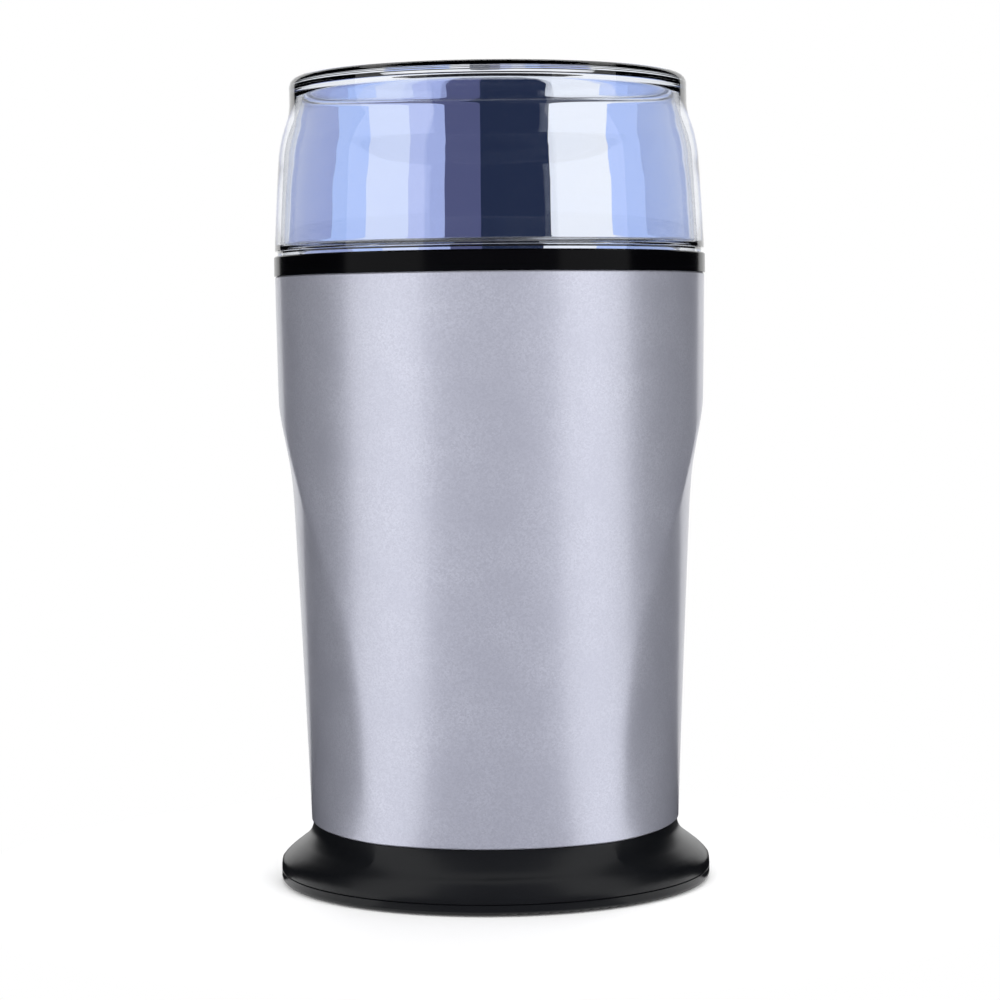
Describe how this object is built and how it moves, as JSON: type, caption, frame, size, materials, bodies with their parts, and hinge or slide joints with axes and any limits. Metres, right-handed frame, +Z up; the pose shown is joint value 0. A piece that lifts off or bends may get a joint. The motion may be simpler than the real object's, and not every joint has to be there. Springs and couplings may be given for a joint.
{
  "type": "electric spice grinder",
  "caption": "Upright electric blade grinder for spices: silver body with a hollowed scoop down each side, flared black base and a clear lid that is pressed down to run the motor.",
  "frame": {"origin": "middle of the base, at the level that the rubber feet stand on", "axes": "+Z up along the motor shaft, front of the body towards -Y, side scoops towards +X and -X"},
  "size_m": [0.0944, 0.0944, 0.1754],
  "materials": {
    "clear_plastic": "clear, faintly blue moulded plastic, polished",
    "black_gloss": "polished black moulding",
    "silver_paint": "silver metallic paint with a fine sparkle",
    "black_satin": "satin black moulding",
    "rubber": "matt black rubber",
    "silicone": "translucent white silicone",
    "stainless": "drawn stainless steel, fine circular polish",
    "steel": "zinc-plated steel",
    "brass": "turned brass",
    "bronze": "oil-filled sintered bronze",
    "copper": "enamelled copper",
    "lamination": "stacked electrical steel",
    "cast_aluminium": "die-cast aluminium",
    "carbon": "pressed carbon",
    "grey_plastic": "glass-filled grey moulding",
    "black_plastic": "moulded black plastic",
    "red_plastic": "moulded red plastic",
    "yellow_plastic": "moulded capacitor case"
  },
  "bodies": {
    "root": {"collar": "black_gloss", "housing": "silver_paint", "base": "black_satin", "rubber_feet": "rubber", "bowl": "stainless", "bowl_gasket": "silicone", "bowl_sleeve": "brass", "sleeve_nut": "brass", "shaft_seal": "rubber", "stator_core": "lamination", "field_coils": "copper", "upper_motor_bracket": "cast_aluminium", "lower_motor_bracket": "cast_aluminium", "upper_bearing": "bronze", "lower_bearing": "bronze", "motor_bolts": "steel", "brush_holders": "brass", "carbon_brushes": "carbon", "brush_springs": "steel", "motor_dampers": "rubber", "motor_screws": "steel", "inner_frame": "grey_plastic", "return_springs": "steel", "switch_body": "black_plastic", "switch_screws": "steel", "switch_terminals": "brass", "frame_screws": "steel", "base_screws": "steel", "cord_gland": "rubber", "cord_clamp": "black_plastic", "clamp_screws": "steel", "suppression_capacitor": "yellow_plastic"},
    "press_ring": {"press_ring": "black_plastic"},
    "lid": {"lid": "clear_plastic"},
    "rotor": {"motor_shaft": "steel", "blade_spacer": "stainless", "blade": "stainless", "blade_cap": "stainless", "armature_core": "lamination", "armature_windings": "copper", "commutator": "copper", "cooling_fan": "grey_plastic"},
    "switch_lever": {"switch_lever": "steel"},
    "switch_button": {"switch_button": "red_plastic"}
  },
  "joints": [
    {"name": "press_down", "type": "slide", "parent": "root", "child": "press_ring", "axis": [0, 0, 1], "range_m": [-0.001, 0], "stiffness_N_per_m": 1500, "springref_m": 0.002, "deforming": ["return_springs"]},
    {"name": "lid_lift", "type": "slide", "parent": "press_ring", "child": "lid", "axis": [0, 0, 1], "range_m": [0, 0.09]},
    {"name": "blade_spin", "type": "hinge", "parent": "root", "child": "rotor", "pos_m": [0, 0, 0.05], "axis": [0, 0, 1], "continuous": true},
    {"name": "lever_tilt", "type": "hinge", "parent": "root", "child": "switch_lever", "pos_m": [-0.008, 0.0382, 0.0674], "axis": [0, 1, 0], "range_deg": [0, 4.41]},
    {"name": "button_press", "type": "slide", "parent": "root", "child": "switch_button", "axis": [0, 0, 1], "range_m": [-0.0005, 0]}
  ],
  "couplings": [
    {"joint": "lever_tilt", "follows": "press_down", "rad_per_m": -76.923},
    {"joint": "button_press", "follows": "press_down", "ratio": 0.5}
  ]
}
